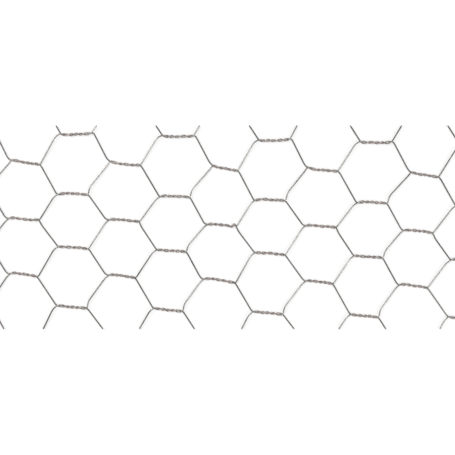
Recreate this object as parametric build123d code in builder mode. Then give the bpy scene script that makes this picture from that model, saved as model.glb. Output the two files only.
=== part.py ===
"""Cut length of hexagonal wire netting (chicken wire), lying flat on a level floor.

Each line wire runs the whole length in a lane of its own and zigzags between two rows of twists.
In a twist, two neighbouring wires wind round each other for whole turns, so each wire leaves on
the side that it came from and goes on to twist with its other neighbour.
The piece was snipped out of wider netting. The cut runs through the first and the last lane, and
all that is left of those two wires is the ends that are twisted onto their neighbours.

Millimetres, +Z up. The origin is on the floor under the middle of the piece. X runs along the
netting, the way that it comes off its roll, and Y runs across it.
"""

import math
import os

from build123d import *

# Wire
wire_diameter = 1.2
wire_sides = 5  # flats round the wire
wire_gap = 0.05  # between the two wires of a twist
floor_lift = 0.008  # of the wires, which the corners of a twist's chords take up

# Netting
mesh_width = 50.0  # across a mesh, from one twist to the next in the same column
column_pitch = 42.5  # along the netting, from one column of twists to the next
twist_length = 28.0
twist_turns = 3
twist_chords = 11  # straight stretches of a wire in the evenly wound middle of a twist
end_chords = 2  # and in the quarter turn at either end of it

# Unevenness of the weave, row by row from the upper edge
lane_shares = (1.0, 1.01, 1.03, 0.90, 0.97, 0.95, 1.12, 1.12)  # of half a mesh
row_tilts_deg = (0.0, 3.0, -5.7, -0.7, -4.1, -2.3, -6.7, -4.0, 0.0)
row_shift_shares = (0.0, 0.007, 0.019, -0.016, 0.0, -0.009, 0.0, -0.014, 0.0)  # of the pitch
column_lean_share = 0.013  # sideways step of a column for its height

# Sway of the weave: it adds to one twist of a row and takes from the next
row_sway_deg = (0.0, -1.2, 2.4, -0.2, 0.5, 0.2, 0.7, 0.0, 0.0)
row_stagger_shares = (0.0, 0.027, -0.006, 0.031, 0.016, -0.004, 0.012, -0.022, 0.0)  # of the pitch
row_heave_shares = (0.0, 0.016, 0.025, 0.009, 0.033, -0.004, 0.022, 0.0, 0.14)  # of half a mesh

# Places where the wires join in a twist and part again, as shares of half its length
upper_join_shares = (0.94, 0.94, 1.0, 1.07, 1.15, 0.96, 1.12, 1.0, 0.94)
upper_part_share = 0.94
lower_join_shares = (0.94, 1.06, 0.90, 0.95, 0.90, 0.95, 0.90, 0.94, 0.94)

# Bends of a wire that rises from one twist to the next, as shares of the way along and across
kick_share = (0.07, 0.23)  # on leaving a twist
kick_rows = (2, 3, 5, 7)
shoulder_share = (0.80, 0.90)  # on reaching the next

# Cut piece
column_count = 12
upper_end_share = 0.468  # of the first lane, left of its wire at mid-length
lower_end_share = 0.529  # of the last
cut_skew_deg = 1.74  # between the rows of twists and the cut edges

# Derived sizes
lane_count = len(lane_shares)
lane_heights = [share * mesh_width / 2 for share in lane_shares]
piece_length = column_count * column_pitch
upper_end_height = upper_end_share * lane_heights[0]
lower_end_height = lower_end_share * lane_heights[-1]
piece_width = upper_end_height + sum(lane_heights[1:-1]) + lower_end_height
first_row_height = piece_width / 2 - upper_end_height + lane_heights[0]
row_heights = [first_row_height - sum(lane_heights[:row]) for row in range(lane_count + 1)]
crossing_turn = 1 / 4  # of the place where the wires meet and cross
even_turn = 1 / 2  # from which they wind evenly
even_share = 1 - 2 * even_turn / twist_turns  # of half the length of a twist
chord_turn = (twist_turns - 2 * even_turn) / twist_chords
twist_radius = (wire_diameter + wire_gap) / 2 / math.cos(math.pi * chord_turn)
axis_height = twist_radius + wire_diameter / 2 + floor_lift
cut_height = 6 * axis_height  # of the block that trims the netting to its cut edges


def twist_frame(column, row):
    """Middle of a twist and the two directions along and across it, on the floor plan."""
    sway = -1 if (column + 1) // 2 % 2 else 1
    shift = row_shift_shares[row] + sway * row_stagger_shares[row]
    along = (column - (column_count - 1) / 2 + shift) * column_pitch + column_lean_share * row_heights[row]
    across = row_heights[row] + sway * row_heave_shares[row] * mesh_width / 2
    middle = Vector(along, across).rotate(Axis.Z, -cut_skew_deg)
    direction = Vector(1, 0).rotate(Axis.Z, row_tilts_deg[row] + sway * row_sway_deg[row] - cut_skew_deg)
    return middle, direction, direction.rotate(Axis.Z, 90)


def twist_points(column, row, side):
    """Corners of one wire's helix in a twist; side is 1 for the upper wire and -1 for the lower.

    The wires cross where they meet, lie side by side a quarter turn later, and wind evenly from there to
    the last quarter turn.
    """
    middle, direction, normal = twist_frame(column, row)
    hand = 1 if column % 2 else -1
    join_share = upper_join_shares[row] if side > 0 else lower_join_shares[row]
    part_share = upper_part_share if side > 0 else lower_join_shares[row]
    stretches = (
        (-join_share, crossing_turn, end_chords),
        (-even_share, even_turn, twist_chords),
        (even_share, twist_turns - even_turn, end_chords),
        (part_share, twist_turns - crossing_turn, 1),
    )
    points = []
    for (share, turn, chords), (next_share, next_turn, _) in zip(stretches, stretches[1:] + stretches[-1:]):
        for chord in range(chords):
            angle = 2 * math.pi * (turn + (next_turn - turn) * chord / chords)
            along = direction * (share + (next_share - share) * chord / chords) * twist_length / 2
            across = normal * side * twist_radius * math.cos(angle)
            up = Vector(0, 0, axis_height + hand * side * twist_radius * math.sin(angle))
            points.append(middle + along + across + up)
    return points


def bend_points(start, end, row):
    """Corners of the single wire from a twist in a row to the next: it rises in a bow and falls straight."""
    way = end - start
    if way.Y < 0:
        return []
    shares = (kick_share, shoulder_share) if row in kick_rows else (shoulder_share,)
    return [start + Vector(along * way.X, across * way.Y, across * way.Z) for along, across in shares]


def wire_row(column, lane):
    """Row of the twist that the wire of a lane is in at a column: the one above it or below it."""
    return lane if (column + lane) % 2 else lane + 1


def wire_columns(lane):
    """Columns that a wire passes, and one past each end of the piece unless it leaves a loose bit."""
    columns = range(-1, column_count + 1)
    if 0 < lane < lane_count - 1:
        return columns
    cut_rows = (0, lane_count)
    return [column for column in columns if column in columns[1:-1] or wire_row(column, lane) in cut_rows]


def wire_points(lane):
    """Corners of the centre line of the wire in one lane, from past one end to past the other."""
    points = []
    for column in wire_columns(lane):
        row = wire_row(column, lane)
        twist = twist_points(column, row, -1 if row == lane else 1)
        if points:
            points += bend_points(points[-1], twist[0], wire_row(column - 1, lane))
        points += twist
    return points


def wire_name(lane):
    if lane == 0:
        return "upper_cut_ends"
    if lane == lane_count - 1:
        return "lower_cut_ends"
    return f"line_wire_{lane}"


os.makedirs("parts", exist_ok=True)
for lane in range(lane_count):
    with BuildPart() as wire:
        with BuildLine() as centre_line:
            Polyline(*wire_points(lane))
        with BuildSketch(Plane(origin=centre_line.line @ 0, z_dir=centre_line.line % 0)):
            RegularPolygon(wire_diameter / 2, wire_sides)
        sweep(path=centre_line.line, transition=Transition.RIGHT)
        Box(piece_length, piece_width, cut_height, mode=Mode.INTERSECT)
    wire.part.label = wire_name(lane)
    export_step(wire.part, f"parts/{wire_name(lane)}.step")
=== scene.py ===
"""Looks of a cut length of hexagonal wire netting: round zinc-coated wires, floor, light and camera.

Metres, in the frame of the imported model. The lattice is the one that the solids follow, apart from ends of
some twists that are moved, bent or kinked here. The wires are round, wind in helices and bend smoothly from
one twist to the next.
"""

import math

import bpy
import numpy as np
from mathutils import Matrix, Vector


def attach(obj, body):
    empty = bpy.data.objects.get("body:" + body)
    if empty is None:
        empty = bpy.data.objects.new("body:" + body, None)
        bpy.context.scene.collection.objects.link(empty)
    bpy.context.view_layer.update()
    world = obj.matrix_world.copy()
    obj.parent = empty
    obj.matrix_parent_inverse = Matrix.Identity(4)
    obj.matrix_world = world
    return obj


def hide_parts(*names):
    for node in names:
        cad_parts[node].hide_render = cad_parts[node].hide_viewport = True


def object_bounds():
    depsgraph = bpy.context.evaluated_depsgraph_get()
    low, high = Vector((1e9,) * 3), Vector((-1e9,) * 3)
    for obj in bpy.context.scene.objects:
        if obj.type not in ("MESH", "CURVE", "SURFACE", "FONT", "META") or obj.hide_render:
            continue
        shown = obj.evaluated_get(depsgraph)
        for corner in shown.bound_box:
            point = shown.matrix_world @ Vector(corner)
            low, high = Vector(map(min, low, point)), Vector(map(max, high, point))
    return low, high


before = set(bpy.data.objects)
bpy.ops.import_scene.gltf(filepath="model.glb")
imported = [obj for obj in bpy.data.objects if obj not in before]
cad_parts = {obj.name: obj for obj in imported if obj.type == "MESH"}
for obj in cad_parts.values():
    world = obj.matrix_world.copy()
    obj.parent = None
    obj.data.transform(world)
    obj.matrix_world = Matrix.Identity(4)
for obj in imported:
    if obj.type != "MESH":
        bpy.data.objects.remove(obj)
cad_low, cad_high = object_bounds()

# Wire
WIRE_DIAMETER = 0.00126  # with its coat of zinc
WIRE_SIDES = 12
AXIS_HEIGHT = 0.00137  # of the twists over the floor
TWIST_RISE = 0.00064  # of a wire's middle over the axis of a twist, where the wires cross
TWIST_SPREAD = 0.00073  # of the same to the side, where they lie beside each other

# Netting
MESH_WIDTH = 0.050
COLUMN_PITCH = 0.0425
TWIST_LENGTH = 0.028
TWIST_TURNS = 3
CROSSING_TURN = 0.25  # of the place where the wires meet and cross
EVEN_TURN = 0.5  # from which they wind evenly
EVEN_SHARE = 1 - 2 * EVEN_TURN / TWIST_TURNS  # of half the length of a twist
QUARTER_SHARE = 0.2  # the least of the same that the quarter turn at either end takes
COLUMN_COUNT = 12
UPPER_END_SHARE = 0.468  # of the first lane, left of its wire at mid-length
CUT_SKEW_DEG = 1.74  # between the rows of twists and the cut edges

# Unevenness of the weave, row by row from the upper edge
LANE_SHARES = (1.0, 1.01, 1.03, 0.90, 0.97, 0.95, 1.12, 1.12)  # of half a mesh
ROW_TILTS_DEG = (0.0, 3.0, -5.7, -0.7, -4.1, -2.3, -6.7, -4.0, 0.0)
ROW_SHIFT_SHARES = (0.0, 0.007, 0.019, -0.016, 0.0, -0.009, 0.0, -0.014, 0.0)  # of the pitch
COLUMN_LEAN_SHARE = 0.013  # sideways step of a column for its height

# Sway of the weave: it adds to one twist of a row and takes from the next
ROW_SWAY_DEG = (0.0, -1.2, 2.4, -0.2, 0.5, 0.2, 0.7, 0.0, 0.0)
ROW_STAGGER_SHARES = (0.0, 0.027, -0.006, 0.031, 0.016, -0.004, 0.012, -0.022, 0.0)  # of the pitch
ROW_HEAVE_SHARES = (0.0, 0.016, 0.025, 0.009, 0.033, -0.004, 0.022, 0.0, 0.14)  # of half a mesh

# Places where the wires join in a twist and part again, as shares of half its length
UPPER_JOIN_SHARES = (0.94, 0.94, 1.0, 1.0, 1.15, 0.96, 1.12, 1.0, 0.68)
UPPER_PART_SHARES = (0.94, 0.94, 0.84, 0.94, 0.94, 0.94, 0.94, 0.94, 0.94)
LOWER_END_SHARES = (0.94, 1.06, 0.90, 0.95, 0.90, 0.95, 0.90, 0.94, 0.94)  # of the lower wire, both

# Bends of the wires between twists, as shares of the way along and across, and the rows that they leave so
KICK_SHARE = (0.07, 0.23)  # of a wire that rises, on leaving a twist
KICK_ROWS = (3, 5, 7)
KICKLESS = ((5, 2), (5, 6))  # twists of these rows, by row and column, that a wire leaves straight
SHOULDER_SHARE = (0.80, 0.90)  # of the same, on reaching the next
SLIGHT_SHOULDER_SHARE = (0.92, 0.91)
SLIGHT_SHOULDER_ROWS = (3,)
FALL_KICK_SHARE = (0.12, 0.19)  # of a wire that falls, on leaving a twist
FALL_KICK_ROWS = (4,)
FALL_SHOULDER_SHARE = (0.87, 0.92)  # of the same, on reaching the next
FALL_SHOULDER_ROWS = (1,)

# Roundings of the bends
CORNER_LEG = 0.0018  # at the ends of a twist
ROUND_CORNER_LEG = 0.0035  # of a wire that falls to a twist of these rows, or from it
ROUND_ROWS = (2, 6)
CORNER_REACH = 4  # steps of a twist at either end that its corner takes up
BEND_LEG = 0.0030  # between twists
OUTER_LEG_SHARE = 0.9  # the most that a rounding takes of the first or the last straight stretch
INNER_LEG_SHARE = 0.45  # and of a stretch between two roundings

# Ends of some twists, by row and column, moved to the right by shares of half their length
JOIN_SHIFT_SHARES = {
    (0, 7): -0.3,
    (1, 10): 0.25,
    (2, 1): -0.15,
    (2, 3): -0.12,
    (2, 5): 0.07,
    (2, 7): -0.14,
    (2, 9): 0.12,
    (3, 4): 0.05,
    (3, 8): 0.05,
    (3, 10): 0.28,
    (4, 5): 0.1,
    (4, 9): 0.1,
    (5, 4): 0.05,
    (5, 8): 0.1,
    (6, 1): 0.15,
    (6, 3): 0.1,
    (6, 7): 0.2,
    (7, 4): 0.05,
    (7, 8): 0.15,
}
PART_SHIFT_SHARES = {
    (0, 5): -0.25,
    (1, 0): -0.2,
    (2, 1): -0.1,
    (2, 5): -0.1,
    (2, 9): 0.1,
    (3, 0): -0.2,
    (6, 3): -0.1,
    (6, 5): 0.1,
    (6, 9): -0.15,
    (7, 0): 0.25,
}

# Ends of the twists: how far they bend up or down, left and right, row by row from the upper edge
BEND_START_SHARE = 0.4  # of half the length
LEFT_BENDS = (0.0, 0.0006, 0.0, -0.0014, -0.0005, -0.0003, -0.0010, 0.0, 0.0)
RIGHT_BENDS = (0.0, 0.0006, 0.0, -0.0008, 0.0003, -0.0005, -0.0002, 0.0, 0.0)

# Ends of some twists, by row and column, that bend further
LEFT_BEND_EXTRAS = {
    (2, 3): 0.0015,
    (2, 5): 0.0022,
    (2, 7): 0.0013,
    (2, 9): 0.0012,
    (5, 10): -0.0015,
    (6, 1): -0.0010,
    (7, 4): 0.0006,
    (7, 8): 0.0008,
    (7, 10): 0.0009,
}
RIGHT_BEND_EXTRAS = {(4, 1): 0.0012, (4, 9): -0.0010}

# A kinked end: places along its twist as shares of half the length, and steps aside
KINKS = {(4, 5): ((0.58, -0.0006), (0.79, 0.0016))}
KINK_REACH_SHARE = 0.08

# Looseness of a twist, in waves along it
LAG_TURNS = 0.11  # of the winding, ahead or behind
LAG_RADIANS = 3  # of its wave, in half the length
AXIS_SWAY = 0.00015
SWAY_RADIANS = 4
SLACK_SHARE = 0.15  # of the spread
SLACK_RADIANS = 8
WRAP_SWAY = 0.0001  # of the wire that winds round the other

# Surface of a wire
SWELL_SHARE = 0.012  # of its radius
SWELL_LENGTH = 0.0011  # in a radian of its wave
SWELL_BEAT_LENGTH = 0.0043  # in a radian of the wave that it comes and goes with
SWELL_PHASE = 6  # the most that its wave starts ahead, in radians
# Brownish darkening on the side of a wire that faces the other wire of its twist: where it starts and how
# far it fades in
CREVICE_START_SHARE = 0.3  # of the radius, towards the other wire of a twist
CREVICE_FADE_SHARE = 0.6  # of the same, from none to full

# Snipped ends
SNIP_LENGTH = 0.0009
SNIP_THICKNESS_SHARE = 0.3
SNIP_WIDTH_SHARE = 1.1
SNIP_RINGS = 5
SNIP_CLEAR_SHARE = 1.2  # of the length, kept free of other rings

# Steps and limits of the meshes
TURN_STEPS = 20
CORNER_STEPS = 5
STRAIGHT_STEP = 0.0015
FILM_STEP = 0.0004
FILM_FADE_STEPS = 11
TINY = 1e-9  # stands in for a length of zero in a division

LANE_COUNT = len(LANE_SHARES)
LANE_HEIGHTS = [share * MESH_WIDTH / 2 for share in LANE_SHARES]
FIRST_ROW_HEIGHT = cad_high[1] + (1 - UPPER_END_SHARE) * LANE_HEIGHTS[0]
ROW_HEIGHTS = [FIRST_ROW_HEIGHT - sum(LANE_HEIGHTS[:row]) for row in range(LANE_COUNT + 1)]


def turned(degrees):
    """Unit vector on the floor plan at an angle from +X."""
    angle = math.radians(degrees)
    return np.array([math.cos(angle), math.sin(angle), 0.0])


def smooth_step(value):
    """Eased rise from 0 to 1."""
    value = np.clip(value, 0.0, 1.0)
    return value * value * (3 - 2 * value)


# Centre lines


def sway_sign(column):
    """Way that the weave sways in a column: it changes with every second one."""
    return -1 if (column + 1) // 2 % 2 else 1


def twist_frame(column, row):
    """Middle of a twist, and the directions along it and across it."""
    sway = sway_sign(column)
    shift = ROW_SHIFT_SHARES[row] + sway * ROW_STAGGER_SHARES[row]
    along = (column - (COLUMN_COUNT - 1) / 2 + shift) * COLUMN_PITCH
    along += COLUMN_LEAN_SHARE * ROW_HEIGHTS[row]
    across = ROW_HEIGHTS[row] + sway * ROW_HEAVE_SHARES[row] * MESH_WIDTH / 2
    middle = along * turned(-CUT_SKEW_DEG) + across * turned(90 - CUT_SKEW_DEG)
    middle[2] = AXIS_HEIGHT
    tilt = ROW_TILTS_DEG[row] + sway * ROW_SWAY_DEG[row] - CUT_SKEW_DEG
    return middle, turned(tilt), turned(90 + tilt)


def twist_turns(column, row, side):
    """Places along a twist, as shares of half its length, and the turns that one wire has made there.

    The wires cross where they meet, lie side by side a quarter turn later, and wind evenly from there to the
    last quarter turn.
    """
    join_shift = JOIN_SHIFT_SHARES.get((row, column), 0.0)
    part_shift = PART_SHIFT_SHARES.get((row, column), 0.0)
    joins = UPPER_JOIN_SHARES[row] - join_shift, LOWER_END_SHARES[row] - join_shift
    parts = UPPER_PART_SHARES[row] + part_shift, LOWER_END_SHARES[row] + part_shift
    join, part = (joins[0], parts[0]) if side > 0 else (joins[1], parts[1])
    even_start = -min(EVEN_SHARE, min(joins) - QUARTER_SHARE)
    even_end = min(EVEN_SHARE, min(parts) - QUARTER_SHARE)
    places = np.linspace(-join, part, TWIST_TURNS * TURN_STEPS + 1)[:, None]
    stops = (-join, even_start, even_end, part)
    stop_turns = (CROSSING_TURN, EVEN_TURN, TWIST_TURNS - EVEN_TURN, TWIST_TURNS - CROSSING_TURN)
    return places, np.interp(places, stops, stop_turns)


def end_sway(column, row, places):
    """Steps aside of a twist's axis at its bent or kinked ends."""
    bend = np.clip((np.abs(places) - BEND_START_SHARE) / (1 - BEND_START_SHARE), 0, None) ** 2
    left = LEFT_BENDS[row] + LEFT_BEND_EXTRAS.get((row, column), 0.0)
    right = RIGHT_BENDS[row] + RIGHT_BEND_EXTRAS.get((row, column), 0.0)
    sway = bend * np.where(places < 0, left, right)
    for kink, step in KINKS.get((row, column), ()):
        sway = sway + step * np.exp(-(((places - kink) / KINK_REACH_SHARE) ** 2))
    return sway


def twist_line(column, row, side):
    """One wire of a twist, from where it joins the other wire to where it leaves, and the axis beside it.

    side is 1 for the wire that comes from above and leaves upwards, and -1 for the other. Each twist is
    loose in its own way.
    """
    middle, direction, normal = twist_frame(column, row)
    hand = 1 if column % 2 else -1
    places, turns = twist_turns(column, row, side)
    lag, bow, slack, wrap = np.random.default_rng((row, column + 1)).uniform(0, 2 * math.pi, 4)
    loose = np.clip(1 - places**2, 0, 1)
    angles = 2 * math.pi * (turns + LAG_TURNS * loose * np.sin(LAG_RADIANS * places + lag))
    wrap_sway = math.copysign(WRAP_SWAY, math.sin(wrap)) * np.cos(angles)
    sway = loose * (AXIS_SWAY * np.sin(SWAY_RADIANS * places + bow) + wrap_sway)
    sway = sway + end_sway(column, row, places)
    axis = middle + places * TWIST_LENGTH / 2 * direction + sway * normal
    aside = TWIST_SPREAD * (1 + SLACK_SHARE * np.sin(SLACK_RADIANS * places + slack))
    up = np.array([0.0, 0.0, TWIST_RISE])
    offset = side * (aside * np.cos(angles) * normal + hand * np.sin(angles) * up)
    return axis + offset, axis


def rounded(corners, legs):
    """Points along a run of straight stretches whose inner corners are rounded off."""
    points = [corners[0]]
    for before, corner, after, leg in zip(corners, corners[1:], corners[2:], legs):
        back, ahead = before - corner, after - corner
        most_back = OUTER_LEG_SHARE if before is corners[0] else INNER_LEG_SHARE
        most_ahead = OUTER_LEG_SHARE if after is corners[-1] else INNER_LEG_SHARE
        start = corner + back * min(leg / np.linalg.norm(back), most_back)
        end = corner + ahead * min(leg / np.linalg.norm(ahead), most_ahead)
        for share in np.linspace(0, 1, CORNER_STEPS):
            points.append((1 - share) ** 2 * start + 2 * share * (1 - share) * corner + share**2 * end)
    points.append(corners[-1])
    line = [points[0]]
    for start, end in zip(points, points[1:]):
        steps = max(1, math.ceil(np.linalg.norm(end - start) / STRAIGHT_STEP))
        line += [start + (end - start) * step / steps for step in range(1, steps + 1)]
    return line


def link_line(twist, next_twist, row, column):
    """Single wire from a twist to the next: it rises in a bow, or falls nearly straight."""
    start, end = twist[-1], next_twist[0]
    way = end - start
    falls = way[1] < 0
    if falls:
        shares = [FALL_KICK_SHARE] if row in FALL_KICK_ROWS else []
        shares += [FALL_SHOULDER_SHARE] if row in FALL_SHOULDER_ROWS else []
    else:
        shares = [KICK_SHARE] if row in KICK_ROWS and (row, column) not in KICKLESS else []
        shares.append(SLIGHT_SHOULDER_SHARE if row in SLIGHT_SHOULDER_ROWS else SHOULDER_SHARE)
    bends = [start + way * (along, across, across) for along, across in shares]
    first_leg = ROUND_CORNER_LEG if falls and row in ROUND_ROWS else CORNER_LEG
    last_leg = ROUND_CORNER_LEG if falls and row + 1 in ROUND_ROWS else CORNER_LEG
    legs = [first_leg] + [BEND_LEG] * len(bends) + [last_leg]
    lead, follow = twist[-1 - CORNER_REACH], next_twist[CORNER_REACH]
    return rounded([lead, start, *bends, end, follow], legs)[1:-1]


def wire_row(column, lane):
    """Row of the twist that the wire in a lane goes through: the one over the lane or the one under it."""
    return lane if (column + lane) % 2 else lane + 1


def wire_columns(lane):
    """Columns that the wire in a lane goes through, with those that it needs past the netting's ends."""
    columns = range(-1, COLUMN_COUNT + 1)
    if 0 < lane < LANE_COUNT - 1:
        return columns
    cut_rows = (0, LANE_COUNT)
    return [column for column in columns if column in columns[1:-1] or wire_row(column, lane) in cut_rows]


def wire_line(lane):
    """Centre line of the wire in a lane, and for each point the one on its twist's axis, or else itself."""
    line, axes = [], []
    wound = slice(CORNER_REACH, -CORNER_REACH)
    last_twist = None
    for column in wire_columns(lane):
        row = wire_row(column, lane)
        twist, axis = twist_line(column, row, -1 if row == lane else 1)
        if last_twist is not None:
            link = link_line(last_twist, twist, wire_row(column - 1, lane), column - 1)
            line.append(np.array(link))
            axes.append(np.array(link))
        line.append(twist[wound])
        axes.append(axis[wound])
        last_twist = twist
    return np.concatenate(line), np.concatenate(axes)


def cut_runs(line, axes):
    """Stretches of a centre line that lie inside the cut rectangle, with their ends on its sides."""
    low, high = np.array(cad_low[:2]), np.array(cad_high[:2])
    reach = np.max(np.maximum(low - line[:, :2], line[:, :2] - high), axis=1)
    inside = reach <= 0
    runs, run = [], []
    for index in range(len(line)):
        crossed = index > 0 and inside[index] != inside[index - 1]
        if crossed:
            share = reach[index - 1] / (reach[index - 1] - reach[index])
            cut = line[index - 1] + share * (line[index] - line[index - 1])
            run.append((cut, cut))
        if inside[index]:
            run.append((line[index], axes[index]))
        elif crossed:
            runs.append(run)
            run = []
    return [np.array(run) for run in runs]


# Meshes


def snip_stations(line, axes):
    """Centre line and axis with close rings for the pinched ends, and the places of all rings along it."""
    steps = np.linalg.norm(np.diff(line, axis=0), axis=1)
    place = np.concatenate([[0], np.cumsum(steps)])
    length = place[-1]
    near = np.linspace(0, SNIP_LENGTH, SNIP_RINGS)
    clear = SNIP_LENGTH * SNIP_CLEAR_SHARE
    inner = place[(place > clear) & (place < length - clear)]
    stations = np.concatenate([near, inner, length - near[::-1]])
    line = np.stack([np.interp(stations, place, line[:, k]) for k in range(3)], axis=1)
    axes = np.stack([np.interp(stations, place, axes[:, k]) for k in range(3)], axis=1)
    return line, axes, stations


def ring_offsets(line, stations, rng):
    """Points of the rings round a wire with pinched ends, from its centre line."""
    ahead = np.gradient(line, axis=0)
    ahead /= np.linalg.norm(ahead, axis=1)[:, None]
    sides = np.cross(ahead, (0.0, 0.0, 1.0))
    sides /= np.linalg.norm(sides, axis=1)[:, None]
    ups = np.cross(sides, ahead)
    angles = np.linspace(0, 2 * math.pi, WIRE_SIDES, endpoint=False)
    wave = np.sin(stations / SWELL_LENGTH + rng.uniform(0, SWELL_PHASE))
    swell = 1 + SWELL_SHARE * wave * np.sin(stations / SWELL_BEAT_LENGTH)
    radius = (WIRE_DIAMETER / 2 * swell)[:, None]
    from_end = np.minimum(stations, stations[-1] - stations)
    pinch = np.clip(1 - from_end / SNIP_LENGTH, 0, 1)[:, None]
    thin = 1 + (SNIP_THICKNESS_SHARE - 1) * pinch
    wide = 1 + (SNIP_WIDTH_SHARE - 1) * pinch
    jaw = rng.uniform(0, math.pi)
    through = radius * np.cos(angles - jaw) * thin
    beside = radius * np.sin(angles - jaw) * wide
    across = through * math.cos(jaw) - beside * math.sin(jaw)
    upward = through * math.sin(jaw) + beside * math.cos(jaw)
    return across[..., None] * sides[:, None] + upward[..., None] * ups[:, None]


def faded(stations, values):
    """Values along a wire, evened out over a short length."""
    grid = np.arange(0, stations[-1] + FILM_STEP, FILM_STEP)
    window = np.ones(FILM_FADE_STEPS) / FILM_FADE_STEPS
    padded = np.pad(np.interp(grid, stations, values), FILM_FADE_STEPS // 2, mode="edge")
    return np.interp(stations, grid, np.convolve(padded, window, mode="valid"))


def twist_cover(line, axes, stations, offsets):
    """Brownish darkening on the side of a wire that faces the other of its twist, and film all round, point
    by point.
    """
    inward = axes - line
    depth = np.linalg.norm(inward, axis=1)
    inward /= np.maximum(depth, TINY)[:, None]
    facing = np.einsum("rsk,rk->rs", offsets, inward) / (WIRE_DIAMETER / 2)
    in_twist = np.minimum(depth / TWIST_RISE, 1)
    crevice_tint = smooth_step((facing - CREVICE_START_SHARE) / CREVICE_FADE_SHARE) * in_twist[:, None]
    return crevice_tint.reshape(-1), np.repeat(faded(stations, in_twist), WIRE_SIDES)


def tube_faces(first, stations):
    """Faces of a wire from its first vertex on, and the places of their corners along it and round it."""
    faces, uvs = [], []
    last_ring = len(stations) - 1
    for ring in range(last_ring):
        low, high = first + ring * WIRE_SIDES, first + (ring + 1) * WIRE_SIDES
        start, end = stations[ring], stations[ring + 1]
        for side in range(WIRE_SIDES):
            next_side = (side + 1) % WIRE_SIDES
            faces.append((low + side, low + next_side, high + next_side, high + side))
            share, next_share = side / WIRE_SIDES, (side + 1) / WIRE_SIDES
            uvs += [(start, share), (start, next_share), (end, next_share), (end, share)]
    for ring, order in ((0, -1), (last_ring, 1)):
        faces.append(tuple(first + ring * WIRE_SIDES + side for side in range(WIRE_SIDES))[::order])
        uvs += [(stations[ring], side / WIRE_SIDES) for side in range(WIRE_SIDES)][::order]
    return faces, uvs


def joined_piece(name, runs, seed):
    """One object from the wires of a node."""
    rng = np.random.default_rng(seed)
    vertices, faces, uvs, crevice_tint, film = [], [], [], [], []
    for run in runs:
        line, axes, stations = snip_stations(run[:, 0], run[:, 1])
        offsets = ring_offsets(line, stations, rng)
        wire_crevice_tint, wire_film = twist_cover(line, axes, stations, offsets)
        wire_faces, wire_uvs = tube_faces(sum(len(wire) for wire in vertices), stations)
        vertices.append((line[:, None] + offsets).reshape(-1, 3))
        faces += wire_faces
        uvs += wire_uvs
        crevice_tint.append(wire_crevice_tint)
        film.append(wire_film)
    mesh = bpy.data.meshes.new(name)
    mesh.from_pydata(np.concatenate(vertices).tolist(), [], faces)
    layer = mesh.uv_layers.new(name="along_wire")
    layer.data.foreach_set("uv", np.array(uvs, dtype=np.float32).ravel())
    # crevice: share of brownish darkening towards the other wire of a twist; twist: share of film
    for attribute, values in (("crevice", crevice_tint), ("twist", film)):
        values = np.concatenate(values).astype(np.float32)
        mesh.attributes.new(attribute, "FLOAT", "POINT").data.foreach_set("value", values)
    mesh.polygons.foreach_set("use_smooth", [len(face) < WIRE_SIDES for face in faces])
    mesh.update()
    piece = bpy.data.objects.new(name, mesh)
    bpy.context.collection.objects.link(piece)
    return piece


# Materials

WHITE = (1, 1, 1, 1)
ZINC_DARK = (0.116, 0.1135, 0.105)
ZINC_LIGHT = (0.194, 0.190, 0.177)
ZINC_STOPS = (0.38, 0.63)  # of the tone, for dark and light
ZINC_ROUGHNESS = (0.21, 0.33)  # of the same
ZINC_METALLIC = 1.0
FILM_BROWN = (0.163, 0.135, 0.122)
FILM_PINK = (0.455, 0.40, 0.378)
FILM_STOPS = (0.34, 0.66)  # of the specks, for brown and pink
FILM_ROUGHNESS = 0.6
FILM_METALLIC = 0.3
# Brownish darkening on the sides of a twist's wires that face each other
CREVICE_BROWN = (0.18, 0.14, 0.122)
PATCH_NOISE = {"Scale": 140.0, "Detail": 4.0, "Roughness": 0.6}
WIRE_NOISE = {"Scale": 28.0, "Detail": 1.0}  # from one wire to the next
SPECK_NOISE = {"Scale": 420.0, "Detail": 3.0, "Roughness": 0.6}
GRAIN_NOISE = {"Scale": 1500.0, "Detail": 3.0}
GRAIN_BUMP = {"Strength": 0.25, "Distance": 0.00008}
FLOOR_GREY = (0.3, 0.3, 0.3, 1)
FLOOR_ROUGHNESS = 0.9
FLOOR_GLOW = 0.71  # beside the light that falls on it
SHADOW_REACH = 0.35
WHITE_REACH = 1.0


def node(tree, kind, **values):
    """New node with its properties and, by name, its input values."""
    made = tree.nodes.new(kind)
    for key, value in values.items():
        if key in made.inputs:
            made.inputs[key].default_value = value
        else:
            setattr(made, key, value)
    return made


def noise(tree, place, settings):
    """Noise at a place on the object."""
    made = node(tree, "ShaderNodeTexNoise", **settings)
    tree.links.new(place, made.inputs["Vector"])
    return made.outputs["Fac"]


def ramp(tree, value, stops, colours):
    """Colour for a value, from colours at its stops."""
    made = node(tree, "ShaderNodeValToRGB")
    for element, place, colour in zip(made.color_ramp.elements, stops, colours):
        element.position = place
        element.color = (*colour, 1)
    tree.links.new(value, made.inputs["Fac"])
    return made.outputs["Color"]


def mapped(tree, value, from_range, to_range, interpolation="LINEAR"):
    """Node that maps a value from one range to another."""
    made = node(tree, "ShaderNodeMapRange", interpolation_type=interpolation)
    for key, limit in zip(("From Min", "From Max", "To Min", "To Max"), (*from_range, *to_range)):
        made.inputs[key].default_value = limit
    tree.links.new(value, made.inputs["Value"])
    return made


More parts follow.
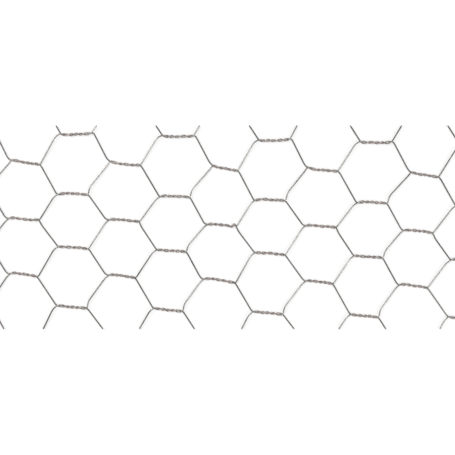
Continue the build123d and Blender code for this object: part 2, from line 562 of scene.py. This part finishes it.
def zinc_colour(tree, place, tone, twist):
    """Patchy zinc under a brownish film on the twists, darkened to brown on the sides where their wires face
    each other.
    """
    link = tree.links.new
    zinc = ramp(tree, tone, ZINC_STOPS, (ZINC_DARK, ZINC_LIGHT))
    film = ramp(tree, noise(tree, place, SPECK_NOISE), FILM_STOPS, (FILM_BROWN, FILM_PINK))
    filmed = node(tree, "ShaderNodeMix", data_type="RGBA")
    link(twist, filmed.inputs["Factor"])
    link(zinc, filmed.inputs["A"])
    link(film, filmed.inputs["B"])
    # Darkened to brown on the sides of a twist's wires that face each other
    crevice = node(tree, "ShaderNodeAttribute", attribute_name="crevice")
    crevice_tinted = node(tree, "ShaderNodeMix", data_type="RGBA")
    crevice_tinted.inputs["B"].default_value = (*CREVICE_BROWN, 1)
    link(crevice.outputs["Fac"], crevice_tinted.inputs["Factor"])
    link(filmed.outputs["Result"], crevice_tinted.inputs["A"])
    return crevice_tinted.outputs["Result"]


def zinc_material():
    """Weathered zinc on steel wire: patchy dark grey, and a dull brownish film on the twists."""
    material = bpy.data.materials.new("weathered_zinc")
    material.use_nodes = True
    tree = material.node_tree
    link = tree.links.new
    shader = tree.nodes["Principled BSDF"]
    place = node(tree, "ShaderNodeTexCoord").outputs["Object"]
    twist = node(tree, "ShaderNodeAttribute", attribute_name="twist").outputs["Fac"]
    patches = node(tree, "ShaderNodeMix", data_type="FLOAT")
    link(noise(tree, place, PATCH_NOISE), patches.inputs["A"])
    link(noise(tree, place, WIRE_NOISE), patches.inputs["B"])
    tone = patches.outputs["Result"]
    link(zinc_colour(tree, place, tone, twist), shader.inputs["Base Color"])
    metal = mapped(tree, twist, (0, 1), (ZINC_METALLIC, FILM_METALLIC))
    link(metal.outputs["Result"], shader.inputs["Metallic"])
    sheen = mapped(tree, tone, ZINC_STOPS, ZINC_ROUGHNESS)
    dull = mapped(tree, twist, (0, 1), (0, FILM_ROUGHNESS))
    link(sheen.outputs["Result"], dull.inputs["To Min"])
    link(dull.outputs["Result"], shader.inputs["Roughness"])
    bump = node(tree, "ShaderNodeBump", **GRAIN_BUMP)
    link(noise(tree, place, GRAIN_NOISE), bump.inputs["Height"])
    link(bump.outputs["Normal"], shader.inputs["Normal"])
    return material


def seen_directly(tree):
    """1 for what the camera sees, straight or in metal or glass, and 0 for the light on other surfaces."""
    rays = node(tree, "ShaderNodeLightPath")
    seen = node(tree, "ShaderNodeMath", operation="MAXIMUM")
    tree.links.new(rays.outputs["Is Camera Ray"], seen.inputs[0])
    tree.links.new(rays.outputs["Is Glossy Ray"], seen.inputs[1])
    through = node(tree, "ShaderNodeMath", operation="MAXIMUM")
    tree.links.new(seen.outputs[0], through.inputs[0])
    tree.links.new(rays.outputs["Is Transmission Ray"], through.inputs[1])
    return through.outputs[0]


def floor_material():
    """White floor that keeps the shadow round the netting and is as white as the backdrop further out."""
    material = bpy.data.materials.new("white_floor")
    material.use_nodes = True
    tree = material.node_tree
    link = tree.links.new
    shader = tree.nodes["Principled BSDF"]
    shader.inputs["Base Color"].default_value = FLOOR_GREY
    shader.inputs["Roughness"].default_value = FLOOR_ROUGHNESS
    shader.inputs["Specular IOR Level"].default_value = 0.0
    shader.inputs["Emission Color"].default_value = WHITE
    place = node(tree, "ShaderNodeTexCoord")
    distance = node(tree, "ShaderNodeVectorMath", operation="LENGTH")
    link(place.outputs["Object"], distance.inputs[0])
    reaches = (SHADOW_REACH, WHITE_REACH)
    white = mapped(tree, distance.outputs["Value"], reaches, (FLOOR_GLOW, 1), "SMOOTHSTEP")
    glow = node(tree, "ShaderNodeMath", operation="MULTIPLY")
    link(white.outputs["Result"], glow.inputs[0])
    link(seen_directly(tree), glow.inputs[1])
    link(glow.outputs[0], shader.inputs["Emission Strength"])
    return material


# Netting

zinc = zinc_material()
node_names = ["upper_cut_ends"] + [f"line_wire_{n}" for n in range(1, LANE_COUNT - 1)] + ["lower_cut_ends"]
for lane, node_name in enumerate(node_names):
    piece = joined_piece(f"zinc_{node_name}", cut_runs(*wire_line(lane)), seed=lane)
    piece.data.materials.append(zinc)
    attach(piece, "root")
    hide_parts(node_name)

# Floor

FLOOR_SIDE = 8.0
floor_mesh = bpy.data.meshes.new("floor")
half = FLOOR_SIDE / 2
floor_mesh.from_pydata(
    [(-half, -half, 0), (half, -half, 0), (half, half, 0), (-half, half, 0)], [], [(0, 1, 2, 3)]
)
floor = bpy.data.objects.new("floor", floor_mesh)
floor.data.materials.append(floor_material())
bpy.context.collection.objects.link(floor)

# Light

WORLD_ZENITH = 0.2
WORLD_HORIZON = 0.45
HORIZON_RISE = 0.15  # of a direction, up to which the horizon's light reaches
ZENITH_RISE = 0.75  # and down to which the zenith's does
BOX_DISTANCE = 1.4
BOX_ELEVATION_DEG = 40.0
BOX_WIDTH = 0.5
BOX_HEIGHT = 1.0
BOXES = (("key", 147.0, 15.0), ("fill", 327.0, 12.0))  # name, azimuth in degrees, power in watts


def softbox(name, azimuth, power):
    """Area light at a distance, turned to the origin."""
    data = bpy.data.lights.new(name, "AREA")
    data.shape = "RECTANGLE"
    data.size = BOX_WIDTH
    data.size_y = BOX_HEIGHT
    data.energy = power
    light = bpy.data.objects.new(name, data)
    way = turned(azimuth) * math.cos(math.radians(BOX_ELEVATION_DEG))
    way[2] = math.sin(math.radians(BOX_ELEVATION_DEG))
    light.location = way * BOX_DISTANCE
    light.rotation_euler = (math.radians(90 - BOX_ELEVATION_DEG), 0, math.radians(azimuth + 90))
    bpy.context.collection.objects.link(light)


def studio_world():
    """White where it is seen, and elsewhere a soft light that is strongest from the horizon."""
    world = bpy.data.worlds.new("studio")
    world.use_nodes = True
    tree = world.node_tree
    link = tree.links.new
    background = tree.nodes["Background"]
    background.inputs["Color"].default_value = WHITE
    direction = node(tree, "ShaderNodeTexCoord")
    parts = node(tree, "ShaderNodeSeparateXYZ")
    link(direction.outputs["Generated"], parts.inputs["Vector"])
    rises = (HORIZON_RISE, ZENITH_RISE)
    shade = mapped(tree, parts.outputs["Z"], rises, (WORLD_HORIZON, WORLD_ZENITH), "SMOOTHSTEP")
    white = node(tree, "ShaderNodeMath", operation="MAXIMUM")
    link(shade.outputs["Result"], white.inputs[0])
    link(seen_directly(tree), white.inputs[1])
    link(white.outputs[0], background.inputs["Strength"])
    return world


for box in BOXES:
    softbox(*box)
bpy.context.scene.world = studio_world()

# Camera

CAMERA_DISTANCE = 0.5453
CAMERA_PITCH_DEG = 2.72  # from straight above
CAMERA_TARGET = (-0.0166, 0.0005, AXIS_HEIGHT)
LENS_MM = 50.0
SENSOR_MM = 36.0
pitch = math.radians(CAMERA_PITCH_DEG)
camera_way = np.array([0, math.sin(pitch), math.cos(pitch)])
camera_data = bpy.data.cameras.new("camera")
camera_data.lens = LENS_MM
camera_data.sensor_width = SENSOR_MM
camera_data.sensor_fit = "HORIZONTAL"
camera = bpy.data.objects.new("camera", camera_data)
camera.location = np.array(CAMERA_TARGET) + CAMERA_DISTANCE * camera_way
camera.rotation_euler = (-pitch, 0, 0)
bpy.context.collection.objects.link(camera)
bpy.context.scene.camera = camera

bpy.context.scene.view_settings.view_transform = "Standard"
